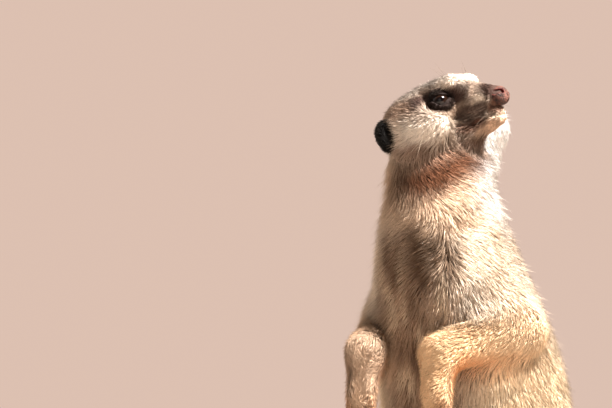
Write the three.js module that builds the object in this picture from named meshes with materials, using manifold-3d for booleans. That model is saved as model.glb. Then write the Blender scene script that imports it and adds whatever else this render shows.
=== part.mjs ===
// A meerkat standing upright on its hind feet and tail, its head turned over its left shoulder.
// Millimetres, +Z up. +X is the animal's left, -Y is where its belly faces.
// The animal is one distance field, negative inside. Each part is that field made into a mesh
// over the part's own region, and cut from its neighbours by planes.
import * as THREE from "three";
import { mergeVertices } from "three/addons/utils/BufferGeometryUtils.js";
import Module from "manifold-3d";

const wasm = await Module();
wasm.setup();

const rad = THREE.MathUtils.degToRad;

// Sizes, out to the tips of the coat

const gap = 0.3; // between parts that touch
const far = 600; // reach of a cutting box past the animal

// Trunk sections from rump to nape: height, middle (y), half width, half depth
const trunkSections = [
  { z: 70, y: 29, width: 9, depth: 9 },
  { z: 82, y: 27, width: 37, depth: 33 },
  { z: 104, y: 25, width: 48, depth: 43 },
  { z: 128, y: 23, width: 52.5, depth: 47.5 },
  { z: 158, y: 18, width: 50.5, depth: 47.5 },
  { z: 190, y: 7, width: 46, depth: 43.5 },
  { z: 226, y: -3.5, width: 35.5, depth: 36 },
  { z: 256, y: -8.5, width: 31, depth: 27 },
  { z: 268, y: -9.5, width: 28.5, depth: 24.5 },
  { z: 282, y: -12, width: 17, depth: 17 },
];
const trunkBlend = 10;

// Limb joints on the left side: place and radius of the limb there
const limb = {
  shoulder: { at: [20, -9, 222], r: 15 },
  elbow: { at: [44, 4, 180], r: 10.5 },
  crook: { at: [39, -1, 188], r: 9 }, // inside of the bent elbow
  wrist: { at: [24, -38, 170], r: 10 },
  knuckles: { at: [24.5, -41.5, 149], r: 8.4 },
  hip: { at: [20, 22, 106], r: 32 },
  knee: { at: [31.5, -17, 68], r: 18.5 },
  calf: { at: [28, 6, 44], r: 12.5 },
  heel: { at: [25, 19, 8.6], r: 9.6 },
  ball: { at: [28.5, -15, 7.6], r: 8.8 },
};
const ruff = { top: { at: [10, 14, 280.5], r: 15.5 }, foot: { at: [9, 11, 268], r: 12 } }; // beside the turned jaw
const ruffBlend = 12;

// Tail from the rump down to the floor and along it: place and radius
const tailLine = [
  { at: [0, 52, 80], r: 18 },
  { at: [0, 68, 56], r: 14 },
  { at: [2, 85, 30], r: 11.5 },
  { at: [6, 106, 12], r: 10.5 },
  { at: [13, 134, 8.6], r: 9.2 },
  { at: [23, 160, 7.6], r: 8.2 },
  { at: [38, 184, 6.9], r: 7.4 },
  { at: [58, 202, 6.2], r: 6.6 },
  { at: [77, 211, 5], r: 5.2 },
  { at: [84, 214, 4], r: 2 },
];

// Head, in its own frame: +X to the nose, +Y its left, +Z its crown, origin in the brain case
const headPlace = { at: [-7, -14, 291.5], yaw: 100, pitch: 16.5, roll: 2 };
const eye = { at: [18.3, 12.2, 0.4], radii: [4.8, 4.8, 4.8] };
const ear = { at: [-11, 23.3, -9.4], radii: [6.6, 3.8, 9.2] };
const noseBack = 43.6; // x of the face behind the nose
const noseLow = -10.8; // z of the lip under it
const mouth = { z: -15.4, back: 19, halfWidth: 10.5 };

const cut = { neckTop: 266.5, neckLow: 238, waist: 158, hips: 112, hipSide: 16, knee: 58, ankle: 21, wrist: 160 };

// Digits: four to a foot, each with a claw
const digits = 4;
const finger = { apart: 4.2, fan: 5.2, length: 17, rBack: 3.5, rTip: 2.8, claw: 13, clawRadius: 1.5 };
const toe = { apart: 4.9, fan: 6, length: 19, rBack: 4.9, rTip: 3.9, claw: 8, clawRadius: 1.6 };

const colours = {
  coat: 0xc9a883,
  faceCoat: 0xe0d3bd,
  bellyCoat: 0x9a8775,
  tailTip: 0x2a211d,
  nose: 0x5a3b33,
  ear: 0x1b1717,
  eye: 0x1a100c,
  claw: 0x3a322c,
};

// Distance fields

const minus = (a, b) => [a[0] - b[0], a[1] - b[1], a[2] - b[2]];
const dot = (a, b) => a[0] * b[0] + a[1] * b[1] + a[2] * b[2];
const mirrored = (v) => [-v[0], v[1], v[2]];
const symmetric = (field) => (q) => field([q[0], Math.abs(q[1]), q[2]]); // the head's two sides

/** The nearer of two surfaces, with the crease between them filled over the width k. */
function join(a, b, k) {
  const h = Math.max(k - Math.abs(a - b), 0) / k;
  return Math.min(a, b) - (h * h * k) / 4;
}

const blend = (k, ...fields) => (p) => fields.map((f) => f(p)).reduce((a, b) => join(a, b, k));

function ellipsoid(at, radii) {
  return (p) => {
    const q = minus(p, at).map((v, i) => v / radii[i]);
    const k0 = Math.hypot(...q);
    const k1 = Math.hypot(...q.map((v, i) => v / radii[i]));
    return (k0 * (k0 - 1)) / Math.max(k1, 1e-6);
  };
}

/** A round limb from a to b with its radius tapering from ra to rb. */
function bone(a, ra, b, rb) {
  const ba = minus(b, a);
  const l2 = dot(ba, ba);
  const rr = ra - rb;
  const a2 = l2 - rr * rr;
  return (p) => {
    const pa = minus(p, a);
    const y = dot(pa, ba);
    const z = y - l2;
    const x2 = pa.reduce((sum, v, i) => sum + (v * l2 - ba[i] * y) ** 2, 0);
    const k = Math.sign(rr) * rr * rr * x2;
    if (Math.sign(z) * a2 * z * z * l2 > k) return Math.sqrt(x2 + z * z * l2) / l2 - rb;
    if (Math.sign(y) * a2 * y * y * l2 < k) return Math.sqrt(x2 + y * y * l2) / l2 - ra;
    return (Math.sqrt(x2 * a2 / l2) + y * rr) / l2 - ra;
  };
}

const chain = (k, ...joints) =>
  blend(k, ...joints.slice(1).map((j, i) => bone(joints[i].at, joints[i].r, j.at, j.r)));

/** A smooth curve through the values that one size takes at the trunk's heights. */
function alongTrunk(size) {
  const z = trunkSections.map((s) => s.z);
  const v = trunkSections.map((s) => s[size]);
  const last = z.length - 1;
  const slope = (i) => {
    const lo = Math.max(i - 1, 0);
    const hi = Math.min(i + 1, last);
    return (v[hi] - v[lo]) / (z[hi] - z[lo]);
  };
  return (height) => {
    const h = THREE.MathUtils.clamp(height, z[0], z[last]);
    const i = Math.min(z.findLastIndex((value) => value <= h), last - 1);
    const span = z[i + 1] - z[i];
    const t = (h - z[i]) / span;
    const s = t * t * (3 - 2 * t);
    return v[i] * (1 - s) + v[i + 1] * s + span * t * (1 - t) * (slope(i) * (1 - t) - slope(i + 1) * t);
  };
}

const trunkMiddle = alongTrunk("y");
const trunkWidth = alongTrunk("width");
const trunkDepth = alongTrunk("depth");

function trunk(p) {
  const low = trunkSections[0].z;
  const high = trunkSections.at(-1).z;
  const side = ellipsoid([0, trunkMiddle(p[2]), p[2]], [trunkWidth(p[2]), trunkDepth(p[2]), 1])(p);
  const end = Math.max(low - p[2], p[2] - high);
  return end > 0 ? Math.hypot(Math.max(side, 0), end) : Math.max(side, end);
}

const headFrame = new THREE.Group();
{
  const { at, yaw, pitch, roll } = headPlace;
  const turn = (axis, angle) => new THREE.Matrix4().makeRotationAxis(axis, rad(angle));
  const [X, Y, Z] = [new THREE.Vector3(1, 0, 0), new THREE.Vector3(0, 1, 0), new THREE.Vector3(0, 0, 1)];
  const turned = turn(Z, yaw - 90).multiply(turn(Y, -pitch)).multiply(turn(X, roll));
  headFrame.applyMatrix4(turned.setPosition(...at));
  headFrame.updateMatrixWorld();
}
const toHead = headFrame.matrixWorld.clone().invert();
const movedBy = (matrix, field) => {
  const v = new THREE.Vector3();
  return (p) => field(v.set(...p).applyMatrix4(matrix).toArray());
};

const skull = blend(
  8,
  ellipsoid([-2, 0, -4.5], [20, 22, 16]), // brain case
  symmetric(ellipsoid([5, 15, -9], [18, 12, 12.5])), // cheeks
  bone([10, 0, -1], 14.5, [31, 0, -3.5], 8.6), // face
);
const snout = blend(
  5,
  skull,
  bone([30, 0, -2.8], 8.8, [42.2, 0, -4], 6.2), // muzzle
  bone([12, 0, -19.5], 11.5, [40.5, 0, -14.8], 5), // lower jaw
  symmetric(ellipsoid([20.5, 9.5, 7.4], [10.5, 7, 6])), // brows
  ellipsoid([18.5, 0, 6], [13.5, 12, 7.4]), // forehead
);
const nosePad = ellipsoid([45, 0, -4.6], [5, 4.7, 5.2]);
const socket = symmetric(ellipsoid([20, 15.8, 0.9], [6.8, 6, 4.4]));
const head = (q) => -join(-join(snout(q), nosePad(q), 2), socket(q), 3);

const leg = blend(
  8,
  bone(limb.hip.at, limb.hip.r, limb.knee.at, limb.knee.r),
  chain(5, limb.knee, limb.calf, limb.heel),
  bone(limb.heel.at, limb.heel.r, limb.ball.at, limb.ball.r),
);
const shoulder = bone(limb.shoulder.at, limb.shoulder.r, limb.elbow.at, 0.75 * limb.elbow.r);
const onBothSides = (field) => (p) => field([Math.abs(p[0]), p[1], p[2]]);
const foreArm = blend(
  6,
  chain(6, limb.elbow, limb.wrist, limb.knuckles),
  bone(limb.crook.at, limb.crook.r, limb.wrist.at, 0.9 * limb.wrist.r),
);
const tail = chain(3, ...tailLine);

const torso = blend(trunkBlend, trunk, onBothSides(leg), onBothSides(shoulder), tail);
const ruffed = blend(ruffBlend, torso, bone(ruff.top.at, ruff.top.r, ruff.foot.at, ruff.foot.r));
const body = blend(14, ruffed, movedBy(toHead, head));

// Meshes from fields

/** Grid lines from low to high whose spacing goes evenly from first to last. */
function lines(low, high, first, last = first) {
  const out = [low];
  while (out.at(-1) < high)
    out.push(out.at(-1) + THREE.MathUtils.mapLinear(out.at(-1), low, high, first, last));
  return out;
}

/** The field's surface inside a grid, closed where it leaves it: a vertex in each cell it crosses. */
function surface(field, xs, ys, zs) {
  const grid = [xs, ys, zs];
  const count = grid.map((g) => g.length);
  const wall = grid.map((g) => [(g[0] + g[1]) / 2, (g.at(-1) + g.at(-2)) / 2]);
  const inside = (p) => Math.max(field(p), ...p.map((v, i) => Math.max(wall[i][0] - v, v - wall[i][1])));
  const index = (i, j, k) => i + count[0] * (j + count[1] * k);
  const place = (c) => c.map((n, axis) => grid[axis][n]);

  const value = new Float32Array(count[0] * count[1] * count[2]);
  for (let k = 0; k < count[2]; k++)
    for (let j = 0; j < count[1]; j++)
      for (let i = 0; i < count[0]; i++) value[index(i, j, k)] = inside(place([i, j, k]));

  const vertices = [];
  const cellVertex = new Map();
  const corners = [0, 1, 2, 3, 4, 5, 6, 7].map((n) => [n & 1, (n >> 1) & 1, n >> 2]);
  for (let k = 0; k < count[2] - 1; k++)
    for (let j = 0; j < count[1] - 1; j++)
      for (let i = 0; i < count[0] - 1; i++) {
        const crossings = [];
        corners.forEach((a) =>
          [0, 1, 2].forEach((axis) => {
            if (a[axis]) return;
            const b = a.with(axis, 1);
            const [ca, cb] = [a, b].map((c) => [i + c[0], j + c[1], k + c[2]]);
            const [va, vb] = [ca, cb].map((c) => value[index(...c)]);
            if (va < 0 === vb < 0) return;
            const t = va / (va - vb);
            const [pa, pb] = [place(ca), place(cb)];
            crossings.push(pa.map((v, n) => v + (pb[n] - v) * t));
          }),
        );
        if (!crossings.length) continue;
        const margin = 0.06; // keeps neighbouring cells' vertices apart
        const low = place([i, j, k]).map((v, n) => THREE.MathUtils.lerp(v, grid[n][[i, j, k][n] + 1], margin));
        const high = place([i + 1, j + 1, k + 1]).map((v, n) => THREE.MathUtils.lerp(v, place([i, j, k])[n], margin));
        const middle = [0, 1, 2].map((n) => crossings.reduce((s, c) => s + c[n], 0) / crossings.length);
        cellVertex.set(index(i, j, k), vertices.length / 3);
        vertices.push(...ontoSurface(inside, middle, low, high));
      }

  const quads = [];
  for (let k = 0; k < count[2] - 1; k++)
    for (let j = 0; j < count[1] - 1; j++)
      for (let i = 0; i < count[0] - 1; i++)
        [0, 1, 2].forEach((axis) => {
          const here = [i, j, k];
          const there = here.with(axis, here[axis] + 1);
          const [va, vb] = [value[index(...here)], value[index(...there)]];
          if (va < 0 === vb < 0) return;
          const [u, v] = [(axis + 1) % 3, (axis + 2) % 3];
          const ring = [[0, 0], [-1, 0], [-1, -1], [0, -1]].map(([du, dv]) =>
            cellVertex.get(index(...here.with(u, here[u] + du).with(v, here[v] + dv))),
          );
          quads.push(va < 0 ? ring : ring.reverse());
        });
  return new THREE.BufferGeometry()
    .setAttribute("position", new THREE.Float32BufferAttribute(vertices, 3))
    .setIndex(triangles(quads, vertices));
}

/** Halves each quad along its short diagonal, or along the other where that line is taken. */
function triangles(quads, vertices) {
  const vertexAt = (n) => new THREE.Vector3().fromArray(vertices, 3 * n);
  const key = (m, n) => Math.min(m, n) + " " + Math.max(m, n);
  const taken = new Set(quads.flatMap((q) => q.map((n, i) => key(n, q[(i + 1) % 4]))));
  return quads.flatMap(([a, b, c, d]) => {
    const shortAC = vertexAt(a).distanceTo(vertexAt(c)) < vertexAt(b).distanceTo(vertexAt(d));
    const alongAC = shortAC ? !taken.has(key(a, c)) : taken.has(key(b, d));
    taken.add(alongAC ? key(a, c) : key(b, d));
    return alongAC ? [a, b, c, a, c, d] : [a, b, d, b, c, d];
  });
}

/** Moves a point along the field's slope onto its surface, without leaving the point's cell. */
function ontoSurface(field, point, low, high) {
  const h = 0.05;
  let p = point;
  for (let step = 0; step < 3; step++) {
    const d = field(p);
    const slope = p.map((v, n) => (field(p.with(n, v + h)) - field(p.with(n, v - h))) / (2 * h));
    const l2 = Math.max(dot(slope, slope), 0.2);
    p = p.map((v, n) => THREE.MathUtils.clamp(v - (d * slope[n]) / l2, low[n], high[n]));
  }
  return p;
}

/** The same surface, moved outwards. */
function swollen(geometry, by) {
  const out = geometry.clone();
  out.computeVertexNormals();
  const { position, normal } = out.attributes;
  for (let i = 0; i < position.count; i++) {
    const away = new THREE.Vector3().fromBufferAttribute(normal, i).multiplyScalar(by);
    position.setXYZ(i, ...new THREE.Vector3().fromBufferAttribute(position, i).add(away));
  }
  return out;
}

// Solids, joined and cut

function solid(geometry) {
  const plain = geometry.clone();
  plain.deleteAttribute("normal");
  plain.deleteAttribute("uv");
  const merged = mergeVertices(plain, 1e-4);
  return new wasm.Manifold(
    new wasm.Mesh({
      numProp: 3,
      vertProperties: merged.attributes.position.array,
      triVerts: new Uint32Array(merged.index.array),
    }),
  );
}

/** A box from the sides given, reaching past the animal on the others. */
function box({ x = [-far, far], y = [-far, far], z = [-far, far] }) {
  const size = [x, y, z].map(([low, high]) => high - low);
  const middle = [x, y, z].map(([low, high]) => (high + low) / 2);
  return new THREE.BoxGeometry(...size).translate(...middle);
}

/** The half of space ahead of a point. */
function ahead(point, direction) {
  const turn = new THREE.Quaternion().setFromUnitVectors(
    new THREE.Vector3(0, 0, 1),
    new THREE.Vector3(...direction).normalize(),
  );
  return box({ z: [gap / 2, far] }).applyQuaternion(turn).translate(...point);
}

// Parts

const model = new THREE.Group();
model.add(headFrame);

function addPart(name, shape, colour, parent = model) {
  const { vertProperties, triVerts } = shape.getMesh();
  const geometry = new THREE.BufferGeometry()
    .setAttribute("position", new THREE.BufferAttribute(vertProperties, 3))
    .setIndex(new THREE.BufferAttribute(triVerts, 1));
  geometry.computeVertexNormals();
  const material = new THREE.MeshStandardMaterial({ color: colour, roughness: 0.9, metalness: 0 });
  const mesh = new THREE.Mesh(geometry, material);
  mesh.name = name;
  parent.add(mesh);
}

const between = (low, high) => [low + gap / 2, high - gap / 2];
const within = (shape, sides) => shape.intersect(solid(box(sides)));
const sides = [
  { name: "left", sign: 1 },
  { name: "right", sign: -1 },
];
const onSide = (v, sign) => (sign > 0 ? v : mirrored(v));
const limbField = (field, sign) => (p) => field([p[0] * sign, p[1], p[2]]);

// Forelimbs. The forearm lies against the flank, so the trunk is hollowed where it rests.
const armGrid = (sign, cell = 7.6) => [
  sign > 0 ? lines(8, 64, cell) : lines(-64, -8, cell),
  lines(-60, 20, cell),
  lines(134, 203, cell),
];
const foreArms = sides.map(({ sign }) => {
  const skin = surface(limbField(foreArm, sign), ...armGrid(sign));
  return { shape: solid(skin), room: solid(swollen(skin, 1.5 * gap)) };
});

/** A box along the upper arm, from inside the flank out past it and from over the shoulder to the elbow. */
function upperArmBox(sign, extra) {
  const [top, low] = [limb.shoulder.at, limb.elbow.at].map((v) => new THREE.Vector3(...onSide(v, sign)));
  const turned = new THREE.Matrix4().lookAt(top, low, new THREE.Vector3(-sign, 0, 0));
  const halfWidth = limb.shoulder.r + extra;
  const inward = limb.elbow.r / 2 + extra;
  const upward = limb.shoulder.r + extra;
  const downward = top.distanceTo(low) + limb.elbow.r / 3 + extra;
  return box({ x: [-halfWidth, halfWidth], y: [-far, inward], z: [-downward, upward] })
    .applyMatrix4(turned)
    .translate(...top);
}

sides.forEach(({ name, sign }, i) => {
  const { shape } = foreArms[i];
  addPart("forearm_" + name, within(shape, { z: between(cut.wrist, far) }), colours.coat);

  const palm = within(shape, { z: between(-far, cut.wrist) });
  const root = new THREE.Vector3(...onSide(limb.knuckles.at, sign)).add(new THREE.Vector3(0, 0, -2));
  const pointing = new THREE.Quaternion().setFromAxisAngle(new THREE.Vector3(1, 0, 0), -Math.PI / 2);
  addDigits("hand_" + name, "fore_claw_" + name, palm, finger, root, pointing, colours.coat);
});

/** A digit's claw: a cone bent down towards its tip, its base at the origin, pointing along +Y. */
function claw({ claw: length, clawRadius }) {
  const bend = rad(50);
  const cone = new THREE.ConeGeometry(clawRadius, length, 5, 3).translate(0, length / 2, 0);
  const place = cone.attributes.position;
  for (let i = 0; i < place.count; i++) {
    const angle = (place.getY(i) / length) * bend;
    const arc = length / bend + place.getZ(i);
    place.setY(i, arc * Math.sin(angle));
    place.setZ(i, arc * Math.cos(angle) - length / bend);
  }
  return cone;
}

/** Joins four digits to a palm or sole and gives each its claw. They point along the turned +Y. */
function addDigits(name, clawName, palm, digit, root, turn, colour, floor = -far) {
  let whole = palm;
  for (let n = 0; n < digits; n++) {
    const aside = n - (digits - 1) / 2;
    const fan = (aside * (digit.fan - digit.apart)) / digit.length;
    const place = new THREE.Matrix4()
      .makeRotationFromQuaternion(turn)
      .setPosition(root)
      .multiply(new THREE.Matrix4().makeTranslation(aside * digit.apart, 0, 0))
      .multiply(new THREE.Matrix4().makeRotationZ(-fan));
    const length = digit.length - Math.abs(aside) * 1.5; // the middle digits reach furthest
    const stem = new THREE.CylinderGeometry(digit.rTip, digit.rBack, length, 6)
      .translate(0, length / 2, 0)
      .applyMatrix4(place);
    whole = whole.add(solid(stem));
    const nail = claw(digit).translate(0, length + gap, 0).applyMatrix4(place);
    addPart(clawName + "_" + (n + 1), solid(nail), colours.claw);
  }
  addPart(name, within(whole, { z: [floor, far] }), colour);
}

// Trunk, neck and upper arms
const torsoPiece = (low, high, cell = 12) => {
  const grid = [lines(-66, 66, cell), lines(-62, 92, cell), lines(low - 2 * cell, high + 2 * cell, cell)];
  return within(solid(surface(body, ...grid)), { z: between(low, high) });
};
const withoutForeArms = (shape) => foreArms.reduce((rest, arm) => rest.subtract(arm.room), shape);

addPart("neck", torsoPiece(cut.neckLow, cut.neckTop, 9.5), colours.faceCoat);
addPart("abdomen", torsoPiece(cut.hips, cut.waist), colours.bellyCoat);

const ribs = withoutForeArms(torsoPiece(cut.waist, cut.neckLow));
const armRoom = sides.map(({ sign }) => solid(upperArmBox(sign, gap)));
addPart("chest", armRoom.reduce((rest, room) => rest.subtract(room), ribs), colours.bellyCoat);
sides.forEach(({ name, sign }) => {
  addPart("upper_arm_" + name, ribs.intersect(solid(upperArmBox(sign, 0))), colours.coat);
});

// Hips, thighs, shanks and feet
const low = solid(surface(body, lines(-70, 70, 11), lines(-52, 92, 11), lines(30, cut.hips + 24, 11)));
const tailDirection = (i) => minus(tailLine[i + 1].at, tailLine[i - 1].at);
const tailRoot = tailLine[0].at.map((v, axis) => (v + tailLine[1].at[axis]) / 2);
const rump = low.subtract(solid(ahead(minus(tailRoot, [0, gap, 0]), tailDirection(1))));
const upperLeg = { z: between(cut.knee, cut.hips) };
addPart("hips", within(rump, { x: between(-cut.hipSide, cut.hipSide), ...upperLeg }), colours.bellyCoat);
sides.forEach(({ name, sign }) => {
  const outer = sign > 0 ? between(cut.hipSide, far) : between(-far, -cut.hipSide);
  addPart("thigh_" + name, within(rump, { x: outer, ...upperLeg }), colours.coat);

  const across = sign > 0 ? lines(-1, 60, 7.8) : lines(-60, 1, 7.8);
  const lowerLeg = solid(surface(limbField(leg, sign), across, lines(-44, 42, 8.4), lines(-10, cut.knee + 17, 8.6)));
  addPart("shank_" + name, within(lowerLeg, { z: between(cut.ankle, cut.knee) }), colours.coat);

  const sole = within(lowerLeg, { z: between(-far, cut.ankle) });
  const root = new THREE.Vector3(...onSide(limb.ball.at, sign)).add(new THREE.Vector3(0, -2, -4));
  const forward = new THREE.Quaternion().setFromAxisAngle(new THREE.Vector3(0, 0, 1), Math.PI);
  addDigits("foot_" + name, "hind_claw_" + name, sole, toe, root, forward, colours.coat, 0);
});

/** A closed tube through joints of different thickness. */
function tube(joints, around, rings) {
  const line = new THREE.CatmullRomCurve3(joints.map((j) => new THREE.Vector3(...j.at)));
  const geometry = new THREE.CylinderGeometry(1, 1, 1, around, rings);
  const place = geometry.attributes.position;
  for (let i = 0; i < place.count; i++) {
    const t = 0.5 - place.getY(i);
    const n = Math.min(Math.floor(t * (joints.length - 1)), joints.length - 2);
    const r = THREE.MathUtils.lerp(joints[n].r, joints[n + 1].r, t * (joints.length - 1) - n);
    const forward = line.getTangent(t);
    const aside = new THREE.Vector3(0, 0, 1).cross(forward).normalize();
    const upward = forward.clone().cross(aside);
    const centre = line.getPoint(t);
    centre.addScaledVector(aside, r * place.getX(i)).addScaledVector(upward, r * place.getZ(i));
    place.setXYZ(i, ...centre);
  }
  return geometry;
}

// Tail, in four lengths: the first is part of the rump's surface, the others are one tube
const tailCuts = [0, 3, 5, 6];
const tailEnd = (n) => (n ? tailLine[tailCuts[n]].at : tailRoot);
const tailStart = solid(surface(body, lines(-30, 34, 9.3), lines(34, 140, 9.3), lines(-16, 100, 9.3)));
const tailRest = solid(tube(tailLine, 10, 20));
tailCuts.forEach((from, n) => {
  const last = n === tailCuts.length - 1;
  let length = within(n ? tailRest : tailStart, { z: [0, far] });
  length = length.intersect(solid(ahead(tailEnd(n), tailDirection(from || 1))));
  if (!last) {
    const back = tailDirection(tailCuts[n + 1]).map((v) => -v);
    length = length.intersect(solid(ahead(tailEnd(n + 1), back)));
  }
  addPart("tail_" + (n + 1), length, last ? colours.tailTip : colours.coat);
});

// Head, all in its own frame
const headGrid = [lines(-38, 57, 7, 3.5), lines(-42, 43, 5.8), lines(-40, 26, 5)];
const headWhole = solid(surface(movedBy(headFrame.matrixWorld, body), ...headGrid)).intersect(
  solid(box({ z: between(cut.neckTop, far) }).applyMatrix4(toHead)),
);
const jawBox = (extra) => ({
  x: [mouth.back - extra, far],
  y: [-mouth.halfWidth - extra, mouth.halfWidth + extra],
  z: [-far, mouth.z + extra],
});
const noseBox = (extra) => ({ x: [noseBack - extra, far], z: [noseLow - extra, far] });
let face = headWhole.subtract(solid(box(jawBox(gap)))).subtract(solid(box(noseBox(gap))));
addPart("lower_jaw", within(headWhole, jawBox(0)), colours.faceCoat, headFrame);
addPart("nose", within(headWhole, noseBox(0)), colours.nose, headFrame);
sides.forEach(({ name, sign }) => {
  const round = ({ at, radii }, extra) =>
    new THREE.SphereGeometry(1, 10, 7)
      .scale(...radii.map((r) => r + extra))
      .translate(at[0], at[1] * sign, at[2]);
  face = face.subtract(solid(round(eye, gap))).subtract(solid(round(ear, gap)));
  addPart("eye_" + name, solid(round(eye, 0)), colours.eye, headFrame);
  addPart("ear_" + name, solid(round(ear, 0)), colours.ear, headFrame);
});
addPart("head", face, colours.faceCoat, headFrame);

// Stand the model with the middle of its footprint at the origin.
const bounds = new THREE.Box3().setFromObject(model, true);
const middle = bounds.getCenter(new THREE.Vector3());
model.position.set(-middle.x, -middle.y, -bounds.min.z);

export default model;
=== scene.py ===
import math

import bmesh
import bpy
import numpy as np
import openvdb
from mathutils import Matrix, Vector


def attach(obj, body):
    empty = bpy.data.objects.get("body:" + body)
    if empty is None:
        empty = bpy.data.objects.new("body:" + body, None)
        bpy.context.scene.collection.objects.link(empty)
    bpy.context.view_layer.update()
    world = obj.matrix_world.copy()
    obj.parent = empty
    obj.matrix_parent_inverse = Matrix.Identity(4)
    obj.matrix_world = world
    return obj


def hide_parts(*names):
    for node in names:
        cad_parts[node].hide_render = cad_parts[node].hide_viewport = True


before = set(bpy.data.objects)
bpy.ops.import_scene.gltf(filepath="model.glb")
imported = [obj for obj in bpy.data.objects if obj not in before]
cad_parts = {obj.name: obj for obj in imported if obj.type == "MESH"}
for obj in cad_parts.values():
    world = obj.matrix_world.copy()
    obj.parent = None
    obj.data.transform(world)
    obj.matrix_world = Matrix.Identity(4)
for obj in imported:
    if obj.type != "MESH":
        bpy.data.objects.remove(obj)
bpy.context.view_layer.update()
dice = np.random.default_rng(11)

# The animal's own frame is in millimetres: +X its left, -Y where its belly faces
# Sizes reach the tips of the coat
standsAt = np.array([-15.582, -83.002, 0])  # where that frame's origin stands on the floor

trunkSections = np.array([  # from rump to nape: height, middle (y), half width, half depth
    [70, 29, 9, 9], [82, 27, 37, 33], [104, 25, 48, 43], [128, 23, 52.5, 47.5],
    [158, 18, 50.5, 47.5], [190, 7, 46, 43.5], [226, -3.5, 35.5, 36], [256, -8.5, 31, 27],
    [268, -9.5, 28.5, 24.5], [282, -12, 17, 17],
])

limb = {  # joints on the left side: place and radius
    "shoulder": ((20, -9, 222), 15),
    "elbow": ((44, 4, 180), 10.5),
    "crook": ((39, -1, 188), 9),
    "wrist": ((24, -38, 170), 10),
    "knuckles": ((24.5, -41.5, 149), 8.4),
    "hip": ((20, 22, 106), 32),
    "knee": ((31.5, -17, 68), 18.5),
    "calf": ((28, 6, 44), 12.5),
    "heel": ((25, 19, 8.6), 9.6),
    "ball": ((28.5, -15, 7.6), 8.8),
}

tailLine = [  # from the rump to the tip
    ((0, 52, 80), 18), ((0, 68, 56), 14), ((2, 85, 30), 11.5), ((6, 106, 12), 10.5),
    ((13, 134, 8.6), 9.2), ((23, 160, 7.6), 8.2), ((38, 184, 6.9), 7.4), ((58, 202, 6.2), 6.6),
    ((77, 211, 5), 5.2), ((84, 214, 4), 2),
]

ruff = {"top": ((10, 14, 280.5), 15.5), "foot": ((9, 11, 268), 12)}  # fur pushed up by the turned jaw
finger = {"root": (0, 0, -2), "points": (0, 0, -1), "apart": 4.2, "fan": 5.2,
          "length": 17, "radii": (3.5, 2.8)}
toe = {"root": (0, -2, -4), "points": (0, -1, 0), "apart": 4.9, "fan": 6,
       "length": 19, "radii": (4.9, 3.9)}

# The head has its own frame: +X to the nose, +Y its left, +Z its crown
headPlace = {"at": (-7, -14, 291.5), "yaw": 100, "pitch": 16.5, "roll": 2}
turned = [Matrix.Rotation(math.radians(angle), 3, axis) for angle, axis in (
    (headPlace["yaw"] - 90, "Z"), (-headPlace["pitch"], "Y"), (headPlace["roll"], "X"))]
headAxes = np.array(turned[0] @ turned[1] @ turned[2], dtype=float)
headShape = {  # a rounded mass has its place and radii, a bone its two ends with a radius each
    "skull": ((-2, 0, -4.5), (20, 22, 16)),
    "jowls": ((5, 15, -9), (18, 12, 12.5)),
    "bridge": ((10, 0, -1), 14.5, (31, 0, -3.5), 8.6),
    "muzzle": ((30, 0, -2.8), 8.8, (42.2, 0, -4), 6.2),
    "lowerJaw": ((12, 0, -19.5), 11.5, (40.5, 0, -14.8), 5),
    "brows": ((20.5, 9.5, 7.4), (10.5, 7, 6)),
    "forehead": ((18.5, 0, 6), (13.5, 12, 7.4)),
    "sockets": ((20, 15.8, 0.9), (6.8, 6, 4.4)),
}
eye = {"at": (18.3, 12.2, 0.4), "radius": 4.8, "lid": 0.9, "gaze": (0.42, 0.9, 0.12),
       "slit": (4.7, 2.4), "slant": 0.04}
ear = {"at": (-10.4, 23.4, -8.4), "radii": (7, 4, 8.9), "width": 3.2,
       "lobe": ((-12.4, 22.6, -16.6), 2.2), "hollow": ((2.2, 2.6, 0.5), (3.2, 2.6, 6.4))}
nose = {"at": (44.6, 0, -4.8), "radii": (4.9, 4.5, 5)}


def toHead(p):
    return (p - headPlace["at"]) @ headAxes


def fromHead(q):
    return q @ headAxes.T + headPlace["at"]


def bothSides(p, axis):  # the right side folded over to the left one
    p = p.copy()
    p[:, axis] = np.abs(p[:, axis])
    return p


def smooth(x, low, high):
    t = np.clip((x - low) / (high - low), 0, 1)
    return t * t * (3 - 2 * t)


def unit(v):
    return v / np.maximum(np.linalg.norm(v, axis=-1, keepdims=True), 1e-9)


def join(a, b, k):
    h = np.maximum(k - np.abs(a - b), 0) / k
    return np.minimum(a, b) - h * h * k / 4


def carve(a, hollow, k):
    return -join(-a, hollow, k)


def ellipsoid(p, at, radii):
    q = (p - at) / radii
    k0 = np.linalg.norm(q, axis=-1)
    k1 = np.linalg.norm(q / radii, axis=-1)
    return k0 * (k0 - 1) / np.maximum(k1, 1e-6)


def bone(p, a, ra, b, rb):  # a round limb tapering from a to b
    a, b = np.asarray(a, float), np.asarray(b, float)
    length = np.linalg.norm(b - a)
    along = (p - a) @ (b - a) / length
    aside = np.sqrt(np.maximum(((p - a) ** 2).sum(-1) - along**2, 0))
    slope = (ra - rb) / length
    t = np.clip((along + aside * slope / math.sqrt(1 - slope**2)) / length, 0, 1)
    return np.hypot(aside, along - t * length) - (ra + (rb - ra) * t)


def jointed(p, start, end, grow=1):
    return bone(p, *limb[start], limb[end][0], limb[end][1] * grow)


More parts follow.
